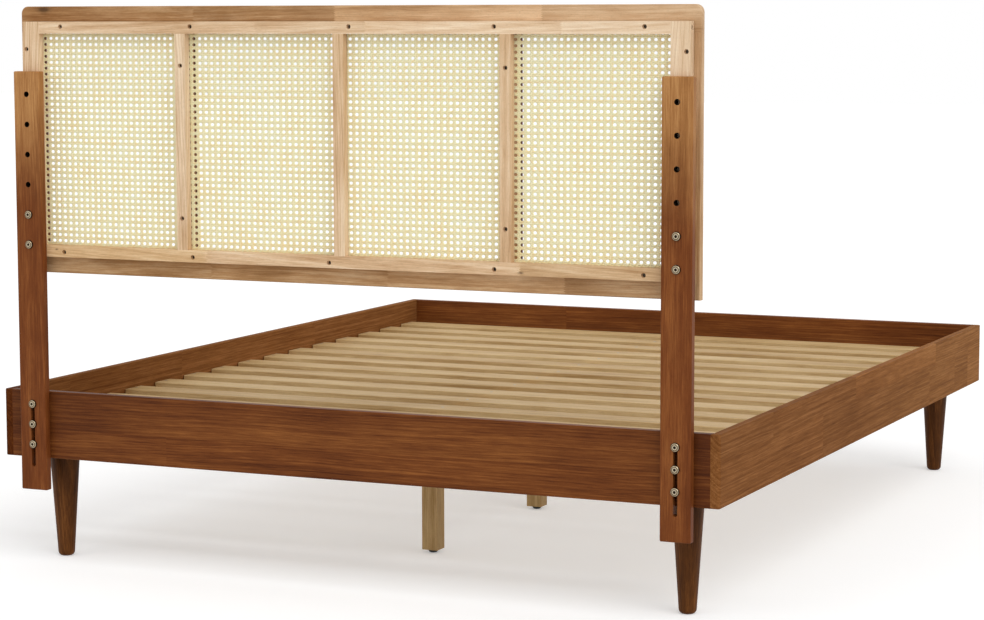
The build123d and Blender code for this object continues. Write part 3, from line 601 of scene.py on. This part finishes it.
def weave_diagonal(weave, slope):
    """Single diagonal strands between the knots: over one set of pairs and under the other."""
    ratio = CANE_PITCH_Z / CANE_PITCH_X
    columns = steps_between(weave.low.x, weave.high.x, CANE_PITCH_X, CANE_PHASE_X)
    rows = steps_between(weave.low.z, weave.high.z, CANE_PITCH_Z, CANE_PHASE_Z)
    span = len(columns) + len(rows)
    for count in range(-span, span + 1):
        line = []
        for half in range(2 * columns[0] - 2, 2 * columns[-1] + 3):
            x = CANE_PHASE_X + half * CANE_PITCH_X / 2
            row = slope * (half / 2 - columns[0]) + count + 0.5 + rows[0]
            z = CANE_PHASE_Z + row * CANE_PITCH_Z
            over_uprights = slope if half % 2 == 0 else -slope
            line.append((x, z, over_uprights * DIAGONAL_LIFT))
        path = clipped(line, weave.low, weave.high, slope * ratio)
        if len(path) > 1:
            weave.strand(path, DIAGONAL_WIDTH, tone_of(5 + slope, count))


def clipped(line, low, high, slope):
    """A straight diagonal path cut to a window's box, with its cut ends on the box's edges."""
    inside = [(x, z, lift) for x, z, lift in line if low.x < x < high.x and low.z < z < high.z]
    if not inside:
        return []
    x0, z0, _ = inside[0]
    x1, z1, _ = inside[-1]
    back = max(low.x - x0, ((low.z if slope > 0 else high.z) - z0) / slope)
    ahead = min(high.x - x1, ((high.z if slope > 0 else low.z) - z1) / slope)
    start = (x0 + back, z0 + back * slope, 0.0)
    end = (x1 + ahead, z1 + ahead * slope, 0.0)
    return [start] + inside + [end]


def cane(node, material):
    """The woven piece that stands for one flat sheet."""
    low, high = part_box(node)
    weave = Weave(low, high)
    weave_straight(weave, True)
    weave_straight(weave, False)
    weave_diagonal(weave, 1)
    weave_diagonal(weave, -1)
    mesh = bpy.data.meshes.new(f"woven_{node}")
    mesh.from_pydata(weave.points, [], weave.faces)
    tones = mesh.attributes.new("strand_tone", "FLOAT", "POINT")
    tones.data.foreach_set("value", weave.tones)
    mesh.shade_smooth()
    mesh.materials.append(material)
    piece = bpy.data.objects.new(f"woven_{node}", mesh)
    bpy.context.scene.collection.objects.link(piece)
    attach(piece, "headboard")
    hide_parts(node)
    print(node, len(mesh.polygons), "faces")


straw = cane_material()
for number in range(1, 5):
    cane(f"cane_panel_{number}", straw)


def make_camera():
    """A camera at the photograph's place and angle."""
    flat = Vector((math.sin(CAMERA_YAW), -math.cos(CAMERA_YAW), 0.0))
    forward = flat * math.cos(CAMERA_PITCH) - Vector((0, 0, math.sin(CAMERA_PITCH)))
    right = Vector((-math.cos(CAMERA_YAW), -math.sin(CAMERA_YAW), 0.0))
    up = right.cross(forward)
    turned_right = right * math.cos(CAMERA_ROLL) + up * math.sin(CAMERA_ROLL)
    turned_up = up * math.cos(CAMERA_ROLL) - right * math.sin(CAMERA_ROLL)
    data = bpy.data.cameras.new("camera")
    data.lens = LENS_MM
    data.sensor_width = SENSOR_MM
    data.clip_end = CAMERA_REACH
    camera = bpy.data.objects.new("camera", data)
    turn = Matrix((turned_right, turned_up, -forward)).transposed().to_4x4()
    camera.matrix_world = Matrix.Translation(CAMERA_AT) @ turn
    bpy.context.scene.collection.objects.link(camera)
    bpy.context.scene.camera = camera


def make_sun(name, strength, source):
    """A wide soft sun that shines from a direction."""
    data = bpy.data.lights.new(name, "SUN")
    data.energy = strength
    data.angle = SUN_ANGLE
    sun = bpy.data.objects.new(name, data)
    sun.rotation_euler = source.to_track_quat("Z", "Y").to_euler()
    bpy.context.scene.collection.objects.link(sun)


def seen_directly(tree):
    """1 for what the camera sees, straight or through metal and glass, and 0 for light."""
    path = tree.nodes.new("ShaderNodeLightPath")
    total = path.outputs["Is Camera Ray"]
    for name in ("Is Glossy Ray", "Is Transmission Ray"):
        add = tree.nodes.new("ShaderNodeMath")
        add.operation = "MAXIMUM"
        tree.links.new(total, add.inputs[0])
        tree.links.new(path.outputs[name], add.inputs[1])
        total = add.outputs[0]
    return total


def make_world():
    """An even pale light that shows as plain white behind the object."""
    world = bpy.data.worlds.new("studio")
    world.use_nodes = True
    tree = world.node_tree
    background = tree.nodes["Background"]
    background.inputs["Color"].default_value = (1.0, 1.0, 1.0, 1.0)
    strength = tree.nodes.new("ShaderNodeMix")
    strength.inputs[2].default_value = WORLD_STRENGTH
    strength.inputs[3].default_value = 1.0
    tree.links.new(seen_directly(tree), strength.inputs[0])
    tree.links.new(strength.outputs[0], background.inputs["Strength"])
    bpy.context.scene.world = world


def make_floor():
    """A pale floor that keeps the object's shadow and reads as white elsewhere."""
    mesh = bpy.data.meshes.new("floor")
    half = FLOOR_SIZE / 2
    corners = [(-half, -half, 0), (half, -half, 0), (half, half, 0), (-half, half, 0)]
    mesh.from_pydata(corners, [], [(0, 1, 2, 3)])
    floor = bpy.data.objects.new("floor", mesh)
    bpy.context.scene.collection.objects.link(floor)
    graph = Graph("pale_floor")
    graph.plain(Base_Color=(FLOOR_ALBEDO, FLOOR_ALBEDO, FLOOR_ALBEDO, 1.0), Roughness=FLOOR_ROUGHNESS,
                Specular_IOR_Level=0.0)
    lift = graph.node("ShaderNodeEmission")
    strength = graph.math("MULTIPLY", seen_directly(graph.tree), FLOOR_LIFT)
    graph.link(strength, lift.inputs["Strength"])
    both = graph.node("ShaderNodeAddShader")
    graph.link(graph.shader.outputs[0], both.inputs[0])
    graph.link(lift.outputs[0], both.inputs[1])
    graph.link(both.outputs[0], graph.output.inputs["Surface"])
    mesh.materials.append(graph.material)


make_camera()
make_sun("key_light", KEY_STRENGTH, KEY_FROM)
make_sun("fill_light", FILL_STRENGTH, FILL_FROM)
make_world()
make_floor()
bpy.context.scene.view_settings.view_transform = "Standard"
